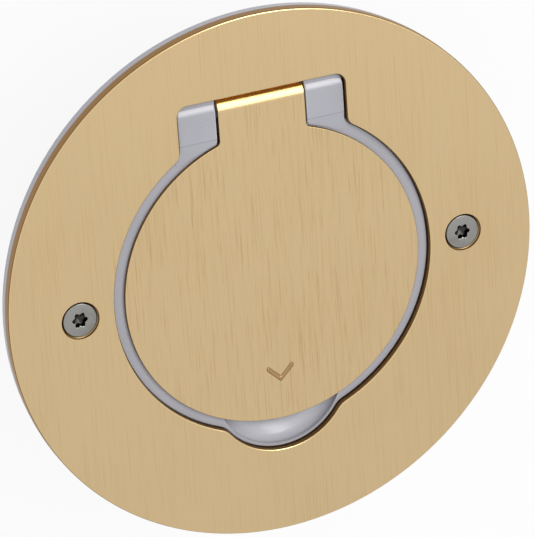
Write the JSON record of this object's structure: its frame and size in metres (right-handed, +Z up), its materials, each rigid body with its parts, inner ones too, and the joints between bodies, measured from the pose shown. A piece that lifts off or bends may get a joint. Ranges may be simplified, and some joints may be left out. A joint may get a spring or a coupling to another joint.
{
  "type": "floor socket box",
  "caption": "Round brass floor cover with a hinged brass lid over a sealed plug well, a sprung pin shutter and a housing under the floor with conduit entries.",
  "frame": {"origin": "on the box's axis at floor level: the level of the underside of the support frame's rim, where it rests on the floor, at the top of the frame's spigot", "axes": "+Z up out of the floor, +Y from the plug well towards the lid's hinge, X along the hinge"},
  "size_m": [0.127, 0.127, 0.0502],
  "materials": {
    "brushed_brass": "brushed satin, grain along Y, bright edge breaks, polished hinge end",
    "plain_brass": "pressed or turned, plain",
    "grey_moulding": "light grey moulding, satin",
    "dark_moulding": "dark grey moulding, fine matt",
    "white_moulding": "white moulding, half gloss",
    "black_rubber": "soft matt",
    "steel_screw": "stainless, turned"
  },
  "bodies": {
    "box": {"cover_plate": "brushed_brass", "support_frame": "grey_moulding", "floor_gasket": "black_rubber", "cover_screws": "steel_screw", "hinge_pins": "steel_screw", "housing": "dark_moulding", "housing_seal": "black_rubber", "threaded_inserts": "plain_brass", "entry_collar": "grey_moulding", "cable_grommet": "black_rubber", "blanking_plug": "grey_moulding", "socket_carrier": "dark_moulding", "carrier_screws": "steel_screw", "socket_front": "white_moulding", "front_screws": "steel_screw", "shutter_spring": "steel_screw", "socket_base": "dark_moulding", "base_screws": "steel_screw", "contact_left": "plain_brass", "contact_right": "plain_brass", "earth_bracket": "plain_brass", "terminal_screws": "steel_screw"},
    "lid": {"lid_plate": "brushed_brass", "lid_body": "grey_moulding", "lid_clips": "steel_screw", "lid_seal": "black_rubber"},
    "shutter": {"socket_shutter": "white_moulding"}
  },
  "joints": [
    {"name": "lid_hinge", "type": "hinge", "parent": "box", "child": "lid", "pos_m": [0, 0.04185, 0.00115], "axis": [-1, 0, 0], "range_deg": [0, 94]},
    {"name": "shutter_slide", "type": "slide", "parent": "box", "child": "shutter", "axis": [0, 1, 0], "range_m": [0, 0.0058], "stiffness_N_per_m": 120, "springref_m": -0.006, "deforming": ["shutter_spring"]}
  ]
}
